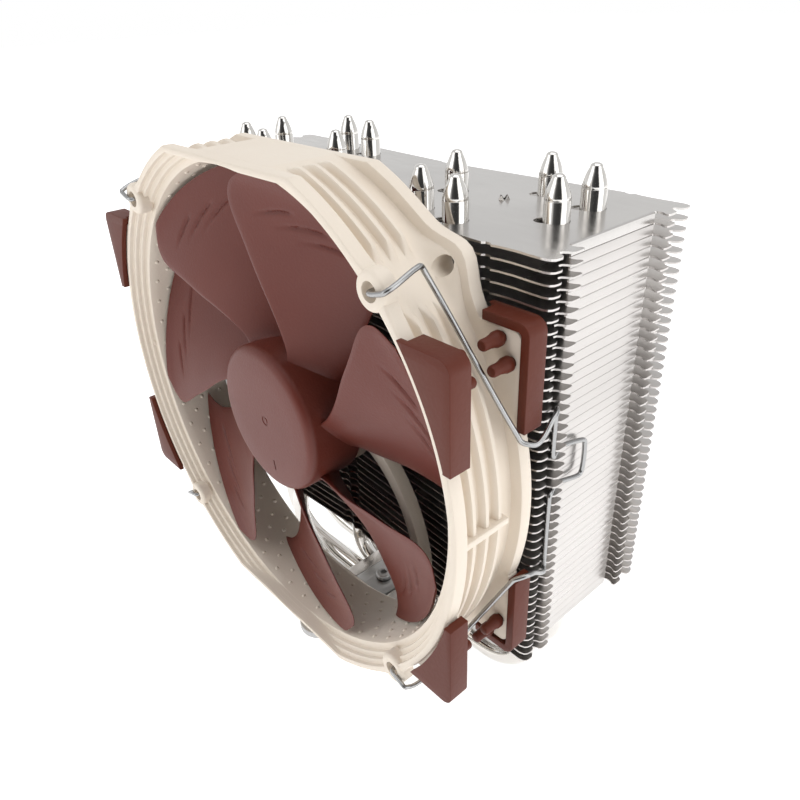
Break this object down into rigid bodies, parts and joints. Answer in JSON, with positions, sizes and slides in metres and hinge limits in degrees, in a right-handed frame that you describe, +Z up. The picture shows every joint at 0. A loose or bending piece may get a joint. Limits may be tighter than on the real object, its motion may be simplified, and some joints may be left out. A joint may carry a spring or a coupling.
{
  "type": "tower processor cooler",
  "caption": "Tower heatsink with stacked metal fins on bent heat pipes over a flat base, and a round-frame axial fan held to its front by wire clips.",
  "frame": {"origin": "centre of the base's contact face", "axes": "+Z up through the fins, -Y towards the side the fan is on, X across the fins"},
  "size_m": [0.1546, 0.1015, 0.168],
  "materials": {
    "nickel_plate": "satin nickel plate",
    "polished_nickel": "polished nickel plate",
    "steel": "plated steel",
    "spring_steel": "spring steel wire",
    "cream_plastic": "satin moulded plastic",
    "brown_plastic": "satin moulded plastic",
    "brown_rubber": "soft silicone rubber",
    "black_rubber": "soft rubber",
    "copper_wire": "enamelled copper wire",
    "brass": "plain brass",
    "magnet": "bonded ferrite",
    "board": "coated circuit board"
  },
  "bodies": {
    "cooler": {"base_plate": "polished_nickel", "pipe_clamp": "nickel_plate", "mounting_bar": "steel", "bar_bolt_front": "steel", "bar_bolt_rear": "steel", "heat_pipe_1": "polished_nickel", "heat_pipe_2": "polished_nickel", "heat_pipe_3": "polished_nickel", "heat_pipe_4": "polished_nickel", "heat_pipe_5": "polished_nickel", "heat_pipe_6": "polished_nickel", "fin_stack": "nickel_plate", "top_fin": "nickel_plate", "fan_frame": "cream_plastic", "cable_boot": "black_rubber", "bearing_sleeve": "brass", "stator_core": "steel", "stator_coil_1": "copper_wire", "stator_coil_2": "copper_wire", "stator_coil_3": "copper_wire", "stator_coil_4": "copper_wire", "circuit_board": "board", "pad_front_upper_right": "brown_rubber", "pad_front_upper_left": "brown_rubber", "pad_front_lower_right": "brown_rubber", "pad_front_lower_left": "brown_rubber", "pad_rear_upper_right": "brown_rubber", "pad_rear_upper_left": "brown_rubber", "pad_rear_lower_right": "brown_rubber", "pad_rear_lower_left": "brown_rubber", "screw_spring_front": "spring_steel", "screw_spring_rear": "spring_steel"},
    "rotor": {"impeller": "brown_plastic", "rotor_shaft": "steel", "rotor_yoke": "steel", "magnet_ring": "magnet", "shaft_clip": "steel"},
    "clip_right": {"wire_clip_right": "spring_steel"},
    "clip_left": {"wire_clip_left": "spring_steel"},
    "screw_carrier_front": {"screw_clip_front": "spring_steel"},
    "screw_turning_front": {"screw_front": "steel"},
    "screw_carrier_rear": {"screw_clip_rear": "spring_steel"},
    "screw_turning_rear": {"screw_rear": "steel"}
  },
  "joints": [
    {"name": "impeller_spin", "type": "hinge", "parent": "cooler", "child": "rotor", "pos_m": [0, -0.0525, 0.098], "axis": [0, -1, 0], "continuous": true},
    {"name": "clip_right_swing", "type": "hinge", "parent": "cooler", "child": "clip_right", "pos_m": [0.0525, -0.0525, 0.098], "axis": [0, 0, -1], "range_deg": [0, 10]},
    {"name": "clip_left_swing", "type": "hinge", "parent": "cooler", "child": "clip_left", "pos_m": [-0.0525, -0.0525, 0.098], "axis": [0, 0, 1], "range_deg": [0, 10]},
    {"name": "screw_front_press", "type": "slide", "parent": "cooler", "child": "screw_carrier_front", "axis": [0, 0, -1], "range_m": [0, 0.003], "stiffness_N_per_m": 3000, "deforming": ["screw_spring_front"]},
    {"name": "screw_front_turn", "type": "hinge", "parent": "screw_carrier_front", "child": "screw_turning_front", "pos_m": [0, -0.0415, 0.02], "axis": [0, 0, -1], "continuous": true},
    {"name": "screw_rear_press", "type": "slide", "parent": "cooler", "child": "screw_carrier_rear", "axis": [0, 0, -1], "range_m": [0, 0.003], "stiffness_N_per_m": 3000, "deforming": ["screw_spring_rear"]},
    {"name": "screw_rear_turn", "type": "hinge", "parent": "screw_carrier_rear", "child": "screw_turning_rear", "pos_m": [0, 0.0415, 0.02], "axis": [0, 0, -1], "continuous": true}
  ]
}
